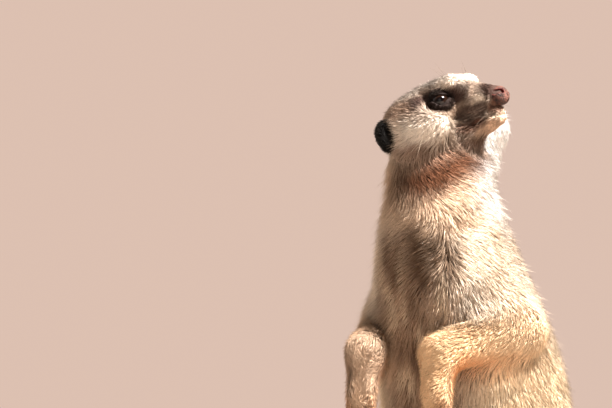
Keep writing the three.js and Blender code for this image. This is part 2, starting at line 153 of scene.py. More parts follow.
def alongTrunk(height, column):
    z, v = trunkSections[:, 0], trunkSections[:, column]
    lo, hi = np.maximum(np.arange(len(z)) - 1, 0), np.minimum(np.arange(len(z)) + 1, len(z) - 1)
    slope = (v[hi] - v[lo]) / (z[hi] - z[lo])
    h = np.clip(height, z[0], z[-1])
    i = np.clip(np.searchsorted(z, h, side="right") - 1, 0, len(z) - 2)
    span = z[i + 1] - z[i]
    t = (h - z[i]) / span
    s = t * t * (3 - 2 * t)
    bow = span * t * (1 - t) * (slope[i] * (1 - t) - slope[i + 1] * t)
    return v[i] * (1 - s) + v[i + 1] * s + bow


def trunk(p):
    z = p[:, 2]
    radii = np.stack([alongTrunk(z, 2), alongTrunk(z, 3)], -1)
    middle = np.stack([np.zeros_like(z), alongTrunk(z, 1)], -1)
    side = ellipsoid(p[:, :2], middle, radii)
    end = np.maximum(trunkSections[0, 0] - z, z - trunkSections[-1, 0])
    return np.where(end > 0, np.hypot(np.maximum(side, 0), end), np.maximum(side, end))


def digitLines(digit, rootJoint):  # root, tip and direction of the four digits of a left foot
    lines = []
    ahead = np.array(digit["points"], float)
    for aside in (-1.5, -0.5, 0.5, 1.5):
        fan = aside * (digit["fan"] - digit["apart"]) / digit["length"]
        root = np.array(limb[rootJoint][0]) + digit["root"] + (aside * digit["apart"], 0, 0)
        direction = ahead * math.cos(fan) + np.array([math.sin(fan), 0, 0])
        lines.append((root, root + direction * (digit["length"] - 1.5 * abs(aside)), direction))
    return lines


def masses(p):  # distance from each mass of the body, out to the tips of its coat
    m = bothSides(p, 0)
    q = toHead(p)
    s = bothSides(q, 1)
    tail = bone(p, *tailLine[0], *tailLine[1])
    for here, there in zip(tailLine[1:], tailLine[2:]):
        tail = join(tail, bone(p, *here, *there), 3)
    foreArm = join(jointed(m, "elbow", "wrist"), jointed(m, "crook", "wrist", grow=0.9), 6)
    foreArm = join(foreArm, jointed(m, "wrist", "knuckles"), 6)
    found = {
        "trunk": trunk(p),
        "thigh": jointed(m, "hip", "knee"),
        "shank": join(jointed(m, "knee", "calf"), jointed(m, "calf", "heel"), 5),
        "foot": jointed(m, "heel", "ball"),
        "upperArm": jointed(m, "shoulder", "elbow", grow=0.75),
        "foreArm": foreArm,
        "hand": np.full(len(p), 1e3),
        "tail": tail,
        "ruff": bone(p, *ruff["top"], *ruff["foot"]),
        "ear": join(ellipsoid(s, ear["at"], ear["radii"]),
                    bone(s, ear["at"], ear["width"], *ear["lobe"]), 4),
    }
    for part, digit, joint in (("hand", finger, "knuckles"), ("foot", toe, "ball")):
        thick, thin = digit["radii"]
        for root, tip, direction in digitLines(digit, joint):
            found[part] = join(found[part], bone(m, root, thick, tip - direction * thin, thin), 1)
    skull = join(ellipsoid(q, *headShape["skull"]), ellipsoid(s, *headShape["jowls"]), 8)
    skull = join(skull, bone(q, *headShape["bridge"]), 8)
    jaws = join(bone(q, *headShape["muzzle"]), bone(q, *headShape["lowerJaw"]), 5)
    face = join(join(skull, jaws, 5), ellipsoid(s, *headShape["brows"]), 5)
    face = join(face, ellipsoid(q, *headShape["forehead"]), 5)
    found["head"] = carve(face, ellipsoid(s, *headShape["sockets"]), 3)
    return found, q, s


def outline(found, p):
    leg = join(join(found["thigh"], found["shank"], 8), found["foot"], 8)
    torso = join(found["trunk"], leg, 10)
    torso = join(join(torso, found["upperArm"], 10), found["tail"], 10)
    whole = join(join(torso, found["ruff"], 12), found["head"], 14)
    arm = join(found["foreArm"], found["hand"], 2)
    sunk = np.maximum(smooth(p[:, 1], -34, -10), 0.55 * smooth(p[:, 2], 160, 180))
    merging = 3 + 13 * sunk  # the elbow sinks in the flank, the wrist stands free
    return join(join(whole, arm, merging), found["ear"], 1.5)


coat = {  # for each mass: depth over the skin, length and width of a tuft, and layers of tufts
    "trunk": (5, 12, 0.46, 3.7),
    "thigh": (4.5, 10.5, 0.65, 2.6),
    "shank": (3.5, 6, 0.6, 2),
    "foot": (1.1, 3, 0.5, 1.5),
    "upperArm": (4.5, 10, 0.5, 3.2),
    "foreArm": (2.6, 8, 0.36, 3.6),
    "hand": (1.0, 3, 0.45, 1.8),
    "tail": (3.2, 7, 0.62, 2.4),
    "ruff": (4, 11, 0.46, 4.6),
    "head": (2.6, 5.5, 0.4, 3.4),
    "muzzle": (1.0, 2.4, 0.36, 3.2),
    "eyeRim": (0.6, 1.8, 0.28, 3),
    "ear": (1.0, 2.6, 0.36, 2.2),
}


def shares(found, s):  # how far each mass owns a point
    near = np.minimum.reduce(list(found.values()))
    owned = {part: np.exp(-np.clip(found[part] - near, 0, 60) / 3) for part in found}
    isHead = owned["head"]
    rim = smooth(np.linalg.norm(s - eye["at"], axis=-1), 9, 6)
    snout = smooth(s[:, 0] + 0.35 * s[:, 2], 22, 30) * (1 - rim)
    owned["eyeRim"] = isHead * rim
    owned["muzzle"] = isHead * snout
    owned["head"] = isHead * (1 - rim) * (1 - snout)
    total = sum(owned.values())
    return {part: owned[part] / total for part in owned}


lips = {"x": (20, 27, 32, 40, 47), "z": (-17.5, -15, -15.2, -13.4, -13.9), "width": 0.7, "depth": 1.0,
        "rim": 0.5, "rimAt": 1.8, "rimWidth": 1.2}
gaze = unit(np.array(eye["gaze"]))
slitAlong = unit(np.array([1, 0, 0]) - gaze[0] * gaze)
slitAcross = np.cross(gaze, slitAlong)


def aboveLips(s):  # height over the line of the mouth, and how far the mouth is open there
    level = np.interp(s[:, 0], lips["x"], lips["z"])
    return s[:, 2] - level, smooth(s[:, 0], 19, 24) * smooth(s[:, 1], 19, 15)


def skinField(p):  # the skin under the coat, with the lids, the lips and the hollow of the ear
    found, q, s = masses(p)
    own = shares(found, s)
    d = outline(found, p) + sum(own[part] * coat[part][0] for part in own)
    fromEye = s - eye["at"]
    lid = np.linalg.norm(fromEye, axis=-1) - eye["radius"] - eye["lid"]
    d = join(d, lid, 1.5)
    along, across, ahead = fromEye @ slitAlong, fromEye @ slitAcross, fromEye @ gaze
    halfLong, halfHigh = eye["slit"]
    opening = (np.abs(across + eye["slant"] * along**2) / halfHigh + (along / halfLong) ** 2 - 1) * 2
    d = carve(d, np.maximum(opening, 1 - ahead), 0.4)
    above, mouth = aboveLips(s)
    d += mouth * lips["depth"] * np.exp(-((above / lips["width"]) ** 2))
    d -= mouth * lips["rim"] * np.exp(-(((above - lips["rimAt"]) / lips["rimWidth"]) ** 2))
    hollowAt, hollowRadii = ear["hollow"]
    return carve(d, ellipsoid(s, np.array(ear["at"]) + hollowAt, hollowRadii), 1)


def inPieces(field, p, most=200000):
    return np.concatenate([field(p[i:i + most]) for i in range(0, len(p), most)])


def slopeOf(field, p, h=0.15):
    steps = np.eye(3) * h
    rise = [inPieces(field, p + step) - inPieces(field, p - step) for step in steps]
    return np.stack(rise, -1) / (2 * h)


def surfaceOf(field, low, high, voxel, block=4):  # points and quads of the field's surface
    low = np.array(low, float)
    blocks = np.ceil((np.array(high) - low) / (block * voxel)).astype(int)
    corners = np.indices(blocks).reshape(3, -1).T * block
    rough = inPieces(field, low + (corners + (block - 1) / 2) * voxel)
    values = np.clip(rough, -9, 9).reshape(blocks)
    for axis in (0, 1, 2):
        values = np.repeat(values, block, axis)
    values = values.astype(np.float32)
    near = corners[np.abs(rough) < 2.2 * block * voxel]
    cells = (near[:, None] + np.indices((block,) * 3).reshape(3, -1).T).reshape(-1, 3)
    values[tuple(cells.T)] = inPieces(field, low + cells * voxel)
    grid = openvdb.FloatGrid(9.0)
    grid.copyFromArray(values)
    points, quads = grid.convertToQuads(isovalue=0)
    return low + np.asarray(points, float) * voxel, np.asarray(quads)


def onto(field, p, steps=3, most=0.8):  # moves points onto the field's surface
    for _ in range(steps):
        slope = slopeOf(field, p)
        move = slope * (inPieces(field, p) / np.maximum((slope**2).sum(-1), 0.3))[:, None]
        p = p - move * np.minimum(1, most / np.maximum(np.linalg.norm(move, axis=-1), 1e-6))[:, None]
    return p


def refined(points, faces, places):  # the surface with its edges halved where each place says
    mesh = bpy.data.meshes.new("rough")
    mesh.from_pydata(points.tolist(), [], faces.tolist())
    bm = bmesh.new()
    bm.from_mesh(mesh)
    for place in places:
        p = np.array([v.co for v in bm.verts])
        for v, chosen in zip(bm.verts, place(p)):
            v.tag = bool(chosen)
        edges = [e for e in bm.edges if e.verts[0].tag and e.verts[1].tag]
        bmesh.ops.subdivide_edges(bm, edges=edges, cuts=1, use_grid_fill=True)
    bmesh.ops.triangulate(bm, faces=bm.faces)
    bmesh.ops.recalc_face_normals(bm, faces=bm.faces)
    p = np.array([v.co for v in bm.verts])
    faces = np.array([[v.index for v in f.verts] for f in bm.faces])
    bm.free()
    bpy.data.meshes.remove(mesh)
    return p, faces


def placed(p):  # from the animal's own millimetres to metres in the frame
    return (p + standsAt) / 1000


def newObject(name, mesh, material=None):
    piece = bpy.data.objects.new(name, mesh)
    bpy.context.collection.objects.link(piece)
    if material:
        mesh.materials.clear()
        mesh.materials.append(material)
    return piece


def newMesh(name, points, faces):
    mesh = bpy.data.meshes.new(name)
    mesh.from_pydata(points.tolist(), [], faces.tolist())
    mesh.polygons.foreach_set("use_smooth", np.ones(len(mesh.polygons), bool))
    return mesh


def tubeFaces(rows, around):  # quads between the rings of a tube
    return np.array([(r * around + i, r * around + (i + 1) % around, (r + 1) * around + (i + 1) % around,
                      (r + 1) * around + i) for r in range(rows) for i in range(around)])


def closed(mesh, mend):  # mended, with its faces turned outwards
    bm = bmesh.new()
    bm.from_mesh(mesh)
    mend(bm)
    bmesh.ops.recalc_face_normals(bm, faces=bm.faces)
    bm.to_mesh(mesh)
    bm.free()
    return mesh


def store(mesh, name, kind, values):
    attribute = mesh.attributes.new(name, kind, "POINT")
    key = {"FLOAT": "value", "FLOAT_VECTOR": "vector", "FLOAT_COLOR": "color"}[kind]
    attribute.data.foreach_set(key, np.ascontiguousarray(values, np.float32).ravel())


def linear(hexColour):
    c = np.array([int(hexColour[i:i + 2], 16) for i in (1, 3, 5)]) / 255
    return np.where(c < 0.04045, c / 12.92, ((c + 0.055) / 1.055) ** 2.4)


def opaque(hexColour):
    return (*linear(hexColour), 1)


def ripple(p, size, seed):  # a smooth unevenness from about -1 to 1 with bumps of that size
    waves = np.random.default_rng(seed)
    ways = unit(waves.normal(size=(9, 3)))
    ways = ways * waves.uniform(0.6, 1.5, (9, 1)) * math.pi / np.array(size)
    return np.sin(p @ ways.T + waves.uniform(0, 2 * math.pi, 9)).mean(1) * 2.2


def spot(p, at, radii, soft=0.25):
    return smooth(np.linalg.norm((p - np.array(at)) / radii, axis=-1), 1 + soft, 1 - soft)


tailJoints = np.array([at for at, radius in tailLine], float)


def tailPlace(p):  # how far along the tail, from 0 to 1, and its direction there
    best, t, way = np.full(len(p), 1e9), np.zeros(len(p)), np.zeros((len(p), 3))
    reached = np.concatenate([[0], np.cumsum(np.linalg.norm(np.diff(tailJoints, axis=0), axis=1))])
    for i, (a, b) in enumerate(zip(tailJoints, tailJoints[1:])):
        along = np.clip(((p - a) @ (b - a)) / ((b - a) ** 2).sum(), 0, 1)
        distance = np.linalg.norm(p - a - along[:, None] * (b - a), axis=-1)
        closer = distance < best
        best = np.where(closer, distance, best)
        t = np.where(closer, reached[i] + along * (reached[i + 1] - reached[i]), t)
        way[closer] = unit(b - a)
    return t / reached[-1], way


paint = {name: linear(value) for name, value in {
    "flank": "#d6c4b0", "sand": "#f8ddb9", "belly": "#997a62", "streak": "#dac0a2",
    # the dark underfur's paint also serves as painted shade on the chest
    "underfurAndShade": "#59412f", "chest": "#c0a084", "back": "#b39a80", "band": "#5f4834", "arm": "#f0c79a",
    # the wrist paint is painted shade on the right forearm
    "fold": "#ffac6a", "wrist": "#bfa38d", "hand": "#c8936b", "thigh": "#d2ae88", "foot": "#bd9769",
    "tail": "#b9905f", "tailTip": "#1a1310", "face": "#dcc6b0", "brow": "#cfbfb1",
    # the white is the ruff's pale fur and also a painted highlight on the ruff and the neck
    "crown": "#b4937c", "cheek": "#f4e4d2", "white": "#fffaf5", "patch": "#43302a",
    # the brown round the eye patch is its soft edge and painted shade
    "muzzle": "#4b3a33", "bridge": "#a8917f", "snub": "#3d2a23", "shadedFringe": "#7d5d48",
    # the jaw's paint is painted shade
    # the throat's paint is its own orange-brown darkened by painted shade
    "lip": "#5f3a2a", "chin": "#e0b898", "shadedJaw": "#4c2b19", "shadedThroat": "#5a3018", "ear": "#080605",
    "lid": "#1d120e", "mouth": "#1c0f0b",
}.items()}

facePaint = [  # in the head's frame, mirrored: paint, place, radii, softness, strength
    ("crown", (-8, 6, 9), (22, 22, 15), 0.45, 0.9),
    ("crown", (0, 22, 3), (9, 7, 7), 0.5, 0.8),
    ("brow", (11, 5, 13), (26, 15, 9), 0.6, 0.9),
    ("cheek", (12, 22, -9), (15, 10, 8), 0.35, 0.9),
    # the throat's own orange-brown, darkened by painted shade under the jaw
    ("shadedThroat", (-2, 22, -22), (20, 18, 8.5), 0.35, 0.9),
    # painted shade: the underside of the jaw, turned down from the light
    ("shadedJaw", (22, 0, -26), (25, 20, 9), 0.4, 0.95),
    ("shadedJaw", (16, 16, -24), (12, 12, 6), 0.5, 0.8),
    ("shadedJaw", (30, 14, -20), (11, 9, 7), 0.4, 0.9),
    ("chin", (40, 0, -17.5), (9, 9, 4), 0.4, 0.9),
    ("muzzle", (32, 9, -9.5), (12, 8, 6.2), 0.2, 0.95),
    ("muzzle", (30.5, 10, -1), (6, 7, 5), 0.35, 0.75),
    ("bridge", (36, 0, 2), (8, 10, 4.8), 0.25, 0.9),
    ("snub", (43.5, 0, -2), (6.5, 9, 7), 0.4, 1),
    ("lip", (29, 8, -14.8), (10, 9, 2), 0.5, 0.9),
    ("lip", (44, 0, -9), (5.5, 7, 4.6), 0.3, 0.9),
    # painted shade below and behind the eye, also softening the edge of the eye patch
    ("shadedFringe", (17, 20, 0.6), (14, 20, 7.6), 0.4, 0.7),
    ("patch", (18.5, 14, 1.8), (11.5, 20, 5.2), 0.2, 1),
    ("patch", (27, 10, 3.4), (6, 20, 4.2), 0.35, 0.8),
    ("patch", (10.5, 20, 2.7), (5, 20, 2.8), 0.4, 0.7),
]


neckPaint = [  # paint, in whose frame, place, radii, softness, strength
    # throat paints: the throat's own orange-brown, darkened by painted shade in the jaw's shadow
    ("shadedThroat", "head", (3, 19, -29), (20, 19, 11), 0.6, 0.95),
    ("shadedThroat", "head", (20, 4, -27), (20, 15, 9), 0.5, 0.9),
    # painted highlight: the side of the neck towards the light
    ("white", "body", (21, 3, 254), (13, 18, 20), 0.5, 0.85),
    ("shadedThroat", "head", (21, 5, -23.5), (10, 11, 6), 0.5, 0.85),
]

limbPaint = {"thigh": ("thigh", 0.9), "shank": ("thigh", 0.9), "foot": ("foot", 0.9),
             "upperArm": ("arm", 0.45), "foreArm": ("arm", 0.9), "hand": ("hand", 0.9)}

turnsAt = {  # heights over which one colour gives way to the next
    "sand": (200, 165), "belly": (246, 222), "chest": (222, 250), "strands": (262, 240),
    "lowBand": (84, 100), "highBand": (205, 170), "fold": (176, 163),
}
bands = {"apart": 17, "strength": 0.62, "waver": 0.8}


def mix(colour, name, share):
    return colour + (paint[name] - colour) * np.clip(share, 0, 1)[:, None]


def paintAt(p, q, s, own):
    height = p[:, 2]
    outwards = (alongTrunk(height, 1) - p[:, 1]) / alongTrunk(height, 3)  # 1 at the belly, -1 at the back
    front, behind = smooth(outwards, 0.5, 0.95), smooth(-outwards, 0.1, 0.75)
    colour = np.tile(paint["flank"], (len(p), 1))
    wavering = height + 6 * ripple(p, 14, 1)
    colour = mix(colour, "sand", (1 - front) * smooth(wavering, *turnsAt["sand"]))
    bellied = front * smooth(wavering, *turnsAt["belly"])
    colour = mix(colour, "belly", bellied)
    strand = ripple(p * [1, 1, 0.3], 3.5, 8)
    colour = mix(colour, "streak", bellied * 0.75 * smooth(strand, 0.1, 0.8))
    colour = mix(colour, "chest", 0.8 * smooth(height + 8 * ripple(p, 12, 2), *turnsAt["chest"]))
    darkStrands = smooth(-strand, 0.2, 0.9) * smooth(height, *turnsAt["strands"])
    colour = mix(colour, "underfurAndShade", (0.35 + bellied) * 0.6 * darkStrands)
    # painted shade: a shadow beside the chest's whorl and the head's shadow on the breast, streaked like
    # the dark underfur
    whorlShade = spot(p, (15, -34, 219), (11, 12, 15), 0.5)
    headShadow = spot(p, (-1, -38, 221), (17, 14, 14), 0.6)
    paintedShade = np.maximum(whorlShade * 0.6, headShadow * 0.4)
    colour = mix(colour, "underfurAndShade", paintedShade * (1 + 0.5 * smooth(-strand, -0.3, 0.6)))
    for name, frameName, at, radii, soft, strength in neckPaint:
        colour = mix(colour, name, strength * spot(s if frameName == "head" else p, at, radii, soft))
    colour = mix(colour, "back", behind * 0.9)
    wave = height * 2 * math.pi / bands["apart"] + bands["waver"] * ripple(p, 20, 3)
    stripes = smooth(np.sin(wave), 0.15, 0.8)
    banded = smooth(height, *turnsAt["lowBand"]) * smooth(height, *turnsAt["highBand"])
    colour = mix(colour, "band", bands["strength"] * behind * stripes * banded)
    t = tailPlace(p)[0]
    colour = mix(colour, "tail", own["tail"] * smooth(t, 0, 0.15))
    colour = mix(colour, "tailTip", own["tail"] * smooth(t + 0.03 * ripple(p, 5, 4), 0.74, 0.84))
    for part, (name, strength) in limbPaint.items():
        colour = mix(colour, name, own[part] * strength)
    head = own["head"] + own["muzzle"] + own["eyeRim"]
    folded = smooth(height, *turnsAt["fold"]) * smooth(p[:, 1], -40, -30)
    colour = mix(colour, "fold", own["foreArm"] * folded * 0.8)
    # painted shade: the right forearm, turned away from the light, greyed
    colour = mix(colour, "wrist", own["foreArm"] * smooth(p[:, 0], 5, -5) * 0.8)
    colour = mix(colour, "face", head)
    uneven = s + 1.1 * np.stack([ripple(q, 5, seed) for seed in (5, 6, 7)], -1)
    for name, at, radii, soft, strength in facePaint:
        colour = mix(colour, name, head * strength * spot(uneven, at, radii, soft))
    # the ruff's own pale fur, brightened to a painted highlight, whitest towards the front
    colour = mix(colour, "white", 1.4 * own["ruff"] * smooth(p[:, 1], 31, 19))
    colour = mix(colour, "lid", head * spot(s, eye["at"], (6.1, 6.1, 6.1), 0.08))
    above, mouth = aboveLips(s)
    colour = mix(colour, "mouth", head * 0.85 * mouth * smooth(np.abs(above), 1.1, 0.3))
    return mix(colour, "ear", smooth(own["ear"], 0.3, 0.5))


whorl = {"at": (22.2, -30.4, 213.6), "reach": 40, "crest": 35}  # where the chest's coat turns outwards
usualLift = 18  # degrees that a tuft stands up from the skin
coatLift = {"ruff": 20, "trunk": 16, "foot": 10, "hand": 10, "muzzle": 16, "eyeRim": 14}


def lieAt(p, q, s, own):  # which way the coat lies, before it is laid on the skin
    side = np.sign(p[:, :1])
    out = np.zeros_like(p)

    def lies(part, direction, mirrored=False):
        direction = unit(np.broadcast_to(np.array(direction, float), p.shape))
        if mirrored:
            direction = direction * np.concatenate([side, np.ones((len(p), 2))], 1)
        out[:] += own[part][:, None] * direction

    def between(start, end):
        return np.subtract(limb[end][0], limb[start][0])

    fromWhorl = p - whorl["at"]
    parting = np.exp(-((np.linalg.norm(fromWhorl, axis=-1) / whorl["reach"]) ** 2))[:, None]
    about = np.arctan2(p[:, 0], alongTrunk(p[:, 2], 1) - p[:, 1])
    fromCrest = about - math.radians(whorl["crest"])
    aside = np.tanh(fromCrest / 0.9) * np.exp(-((fromCrest / 1.6) ** 2))
    aside = 0.9 * aside * smooth(p[:, 2], 200, 225) * smooth(p[:, 2], 285, 270)
    around = np.stack([np.cos(about), np.sin(about), np.zeros(len(p))], -1)
    underJaw = 1.6 * spot(s, (2, 19, -31), (22, 21, 17), 0.5)[:, None]
    lies("trunk", np.array([0, 0, -1.2]) + 1.1 * parting * unit(fromWhorl)
         + (aside[:, None] + underJaw) * around)
    lies("thigh", (0.1, -0.35, -1), True)
    shin = smooth(p[:, 1], -12, 0)[:, None]
    alongShank = between("knee", "calf") * (1 - shin) + between("calf", "heel") * shin
    lies("shank", alongShank + [0, 0, -8], True)
    lies("foot", (0, -1, -0.1))
    lies("upperArm", between("shoulder", "elbow"), True)
    lies("foreArm", between("elbow", "wrist") + [0, 0, -14], True)
    lies("hand", (0, 0, -1))
    lies("tail", tailPlace(p)[1])
    lies("ruff", (0.4, 0.3, -1))
    headSide = np.sign(q[:, 1:2])
    back = np.concatenate([-np.ones((len(p), 1)), np.zeros((len(p), 2))], 1)
    low = smooth(s[:, 2], 4, -14)[:, None]
    downwards = np.concatenate([np.zeros((len(p), 1)), 0.5 * headSide, np.full((len(p), 1), -0.55)], 1)
    cheek = back + low * downwards
    snout = back + smooth(s[:, 1], 2, 7)[:, None] * np.array([0, 0, -0.7])
    fromEye = unit(s - eye["at"])
    fromEye[:, 1:2] *= headSide
    for part, direction in (("head", cheek), ("muzzle", snout), ("eyeRim", fromEye + 0.8 * back),
                            ("ear", back * 0.6 + [0, 0, 0.5])):
        lies(part, direction @ headAxes.T)
    return out


def setting(node, **values):  # a node with its sockets and properties set by name
    for name, value in values.items():
        if name in node.inputs:
            node.inputs[name].default_value = value
        else:
            setattr(node, name, value)
    return node


def newMaterial(name, **surface):
    material = bpy.data.materials.new(name)
    material.use_nodes = True
    shader = material.node_tree.nodes["Principled BSDF"]
    for socket, value in surface.items():
        shader.inputs[socket.replace("_", " ")].default_value = value
    return material, material.node_tree, shader


def grain(tree, scale, detail=3, stretch=(1, 1, 1)):  # an even noise on Object coordinates
    place = tree.nodes.new("ShaderNodeTexCoord")
    mapping = tree.nodes.new("ShaderNodeMapping")
    mapping.inputs["Scale"].default_value = stretch
    noise = setting(tree.nodes.new("ShaderNodeTexNoise"), Scale=scale, Detail=detail)
    tree.links.new(place.outputs["Object"], mapping.inputs["Vector"])
    tree.links.new(mapping.outputs["Vector"], noise.inputs["Vector"])
    return noise.outputs["Fac"]


def feed(tree, sockets, given):  # gives each socket a number, a colour or a link
    for socket, value in zip(sockets, given):
        if isinstance(value, (int, float, tuple)):
            socket.default_value = value
        else:
            tree.links.new(value, socket)


def mathNode(tree, operation, *given, clamp=False):
    node = tree.nodes.new("ShaderNodeMath")
    node.operation, node.use_clamp = operation, clamp
    feed(tree, node.inputs, given)
    return node.outputs[0]


def mixNode(tree, factor, a, b):
    node = tree.nodes.new("ShaderNodeMix")
    node.data_type = "RGBA"
    feed(tree, (node.inputs[0], node.inputs[6], node.inputs[7]), (factor, a, b))
    return node.outputs[2]


def rampNode(tree, value, stops):
    ramp = tree.nodes.new("ShaderNodeValToRGB")
    elements = ramp.color_ramp.elements
    while len(elements) < len(stops):
        elements.new(0.5)
    for element, (at, colour) in zip(elements, stops):
        element.position, element.color = at, opaque(colour)
    tree.links.new(value, ramp.inputs[0])
    return ramp.outputs[0]


def attributeNode(tree, name, output="Fac"):
    node = tree.nodes.new("ShaderNodeAttribute")
    node.attribute_name = name
    return node.outputs[output]


def bumped(tree, shader, height, distance):
    bump = setting(tree.nodes.new("ShaderNodeBump"), Distance=distance, Strength=1.0)
    tree.links.new(height, bump.inputs["Height"])
    tree.links.new(bump.outputs["Normal"], shader.inputs["Normal"])


def coatColoured(tree, shader, shade):  # the painted colour of the coat, times a shade
    scaled = tree.nodes.new("ShaderNodeVectorMath")
    scaled.operation = "SCALE"
    tree.links.new(attributeNode(tree, "coatColour", "Color"), scaled.inputs[0])
    tree.links.new(shade, scaled.inputs["Scale"])
    tree.links.new(scaled.outputs[0], shader.inputs["Base Color"])


hairLook = {"roughness": 0.62, "gloss": 0.06, "sheen": 0.03, "sheenRoughness": 0.45,
            "sheenTint": (1, 0.85, 0.7, 1), "root": 0.88, "rootToTip": 0.16, "tuftToTuft": 0.17,
            "fleckScale": 900, "flecks": 0.5}


def hairMaterial():
    material, tree, shader = newMaterial(
        "coatHair", Roughness=hairLook["roughness"], Specular_IOR_Level=hairLook["gloss"],
        Sheen_Weight=hairLook["sheen"], Sheen_Roughness=hairLook["sheenRoughness"],
        Sheen_Tint=hairLook["sheenTint"])
    along, tone = attributeNode(tree, "along"), attributeNode(tree, "tone")
    shade = mathNode(tree, "MULTIPLY_ADD", along, hairLook["rootToTip"], hairLook["root"])
    spread = mathNode(tree, "MULTIPLY_ADD", tone, hairLook["tuftToTuft"], 1.0)
    flecks = grain(tree, hairLook["fleckScale"])
    fine = mathNode(tree, "MULTIPLY_ADD", flecks, hairLook["flecks"], 1 - hairLook["flecks"] / 2)
    shade = mathNode(tree, "MULTIPLY", shade, spread)
    coatColoured(tree, shader, mathNode(tree, "MULTIPLY", shade, fine))
    return material


skinLook = {"roughness": 0.8, "gloss": 0.15, "mottleScale": 300, "mottle": 0.6, "darkest": 0.5,
            "poreScale": 1400, "poreDepth": 0.0003, "shade": 0.95}


def skinMaterial():
    material, tree, shader = newMaterial("skin", Roughness=skinLook["roughness"],
                                         Specular_IOR_Level=skinLook["gloss"])
    mottle = grain(tree, skinLook["mottleScale"], 5)
    shade = mathNode(tree, "MULTIPLY_ADD", mottle, skinLook["mottle"], skinLook["darkest"])
    coatColoured(tree, shader, shade)
    bumped(tree, shader, grain(tree, skinLook["poreScale"], 4), skinLook["poreDepth"])
    return material


def finished(piece, slotName, *nodes):
    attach(piece, "root")
    if nodes:
        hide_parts(*nodes)
    return piece


# Skin
skinMesh = {"voxel": 1.7, "low": (-64, -64, -2), "high": (92, 222, 316)}
onFloor = 0.6  # the skin of the soles and the tail stays this far above the floor


def farFromFloor(field):
    return lambda p: np.maximum(field(p), onFloor - p[:, 2])


grounded = farFromFloor(skinField)
points, quads = surfaceOf(grounded, skinMesh["low"], skinMesh["high"], skinMesh["voxel"])


def aroundHead(p):
    s = bothSides(toHead(p), 1)
    return (s[:, 0] > -26) & (s[:, 2] > -26) & (s[:, 1] < 34) & (s[:, 0] < 60)


def aroundFace(p):
    s = bothSides(toHead(p), 1)
    eyes = np.linalg.norm(s - eye["at"], axis=-1) < 10.5
    return eyes | ((s[:, 0] > 20) & (s[:, 2] > -22) & (s[:, 1] < 22) & (s[:, 0] < 60))


def aroundFeet(p):
    toes = (p[:, 2] < 16) & (p[:, 1] < -14)
    return toes | (p[:, 2] < 152) & (p[:, 2] > 120) & (p[:, 1] < -36) & (np.abs(p[:, 0]) < 36)


points, faces = refined(points, quads, [lambda p: aroundHead(p) | aroundFeet(p), aroundFace])
points = onto(grounded, points)
found, q, s = masses(points)
skin = newObject("skin", newMesh("skin", placed(points), faces), skinMaterial())
skinColour = paintAt(points, q, s, shares(found, s)) * skinLook["shade"]
store(skin.data, "coatColour", "FLOAT_COLOR", np.c_[skinColour, np.ones(len(points))])
bareParts = ("eye", "nose", "fore_claw", "hind_claw")
flesh = [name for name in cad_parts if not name.startswith(bareParts)]
finished(skin, "body_coat", *flesh)
print("skin:", len(faces), "triangles")

# Coat
coatMap = {"patch": 0.003, "margin": 0.02}  # each tuft's place on the map of its piece
coatPieces = {"most": 19500, "tipFrom": 0.79}  # most tufts to a piece, and where the tail's tip starts
tuftLook = {
    "thickness": 0.42, "spread": 0.1, "seed": 7, "covers": 0.5,  # the share of its outline that it covers
    "lean": 0.2, "scatter": 0.12, "lift": (0.75, 1.25), "lengths": (0.72, 1.15), "waves": 0.14,
    "heights": (0.7, 1.2), "strays": 0.05, "strayHeight": 1.6, "onCheeks": 0.45, "shortest": 0.1,
    "tones": 0.45, "mostTone": 1.6, "clearance": 0.2,
}
bareSkin = {"lips": 0.6, "nose": 1.2, "floor": 0.3, "eye": 6.9, "slit": (4.8, 2.9)}  # reach without tufts


def patchesOf(region, p, q):  # an unwrap of the region's own shape: round it and along it
    if region == "head":
        return np.arctan2(q[:, 1], q[:, 2] + 5), q[:, 0]
    if region == "ears":
        x, y, z = ear["at"]
        return np.arctan2(np.abs(q[:, 1]) - y, q[:, 0] - x) + 7 * (q[:, 1] > 0), q[:, 2] - z
    if region in ("tail", "tailTip"):
        t = tailPlace(p)[0]
        marks = np.linspace(0, 1, len(tailJoints))
        out = p - np.stack([np.interp(t, marks, tailJoints[:, i]) for i in (0, 1, 2)], -1)
        return np.arctan2(out[:, 2], out[:, 0] + out[:, 1]), t
    if region in ("arms", "legs"):
        side = np.abs(p[:, 0])
        middle = 32 if region == "arms" else 30
        about = np.arctan2(p[:, 1] + (12 if region == "arms" else -2), side - middle)
        return about + np.where(p[:, 0] > 0, 0, 2 * math.pi + 0.4), p[:, 2] - 0.6 * p[:, 1]
    return np.arctan2(p[:, 0], p[:, 1] - alongTrunk(p[:, 2], 1)), p[:, 2]


regionOf = {  # each region's slot and the masses whose coat it holds
    "head": ("head_coat", ("head", "muzzle", "eyeRim")),
    "ears": ("ear_coat", ("ear",)),
    "arms": ("limb_coat", ("foreArm", "hand")),
    "legs": ("limb_coat", ("shank", "foot")),
    "tail": ("tail_coat", ("tail",)),
    "tailTip": ("tail_tip", ()),
    "body": ("body_coat", ("trunk", "thigh", "upperArm", "ruff")),
}


def coatSizes(own):  # depth, length and width of the tufts where the masses are owned so
    return [sum(own[part] * coat[part][i] for part in own) for i in range(4)]


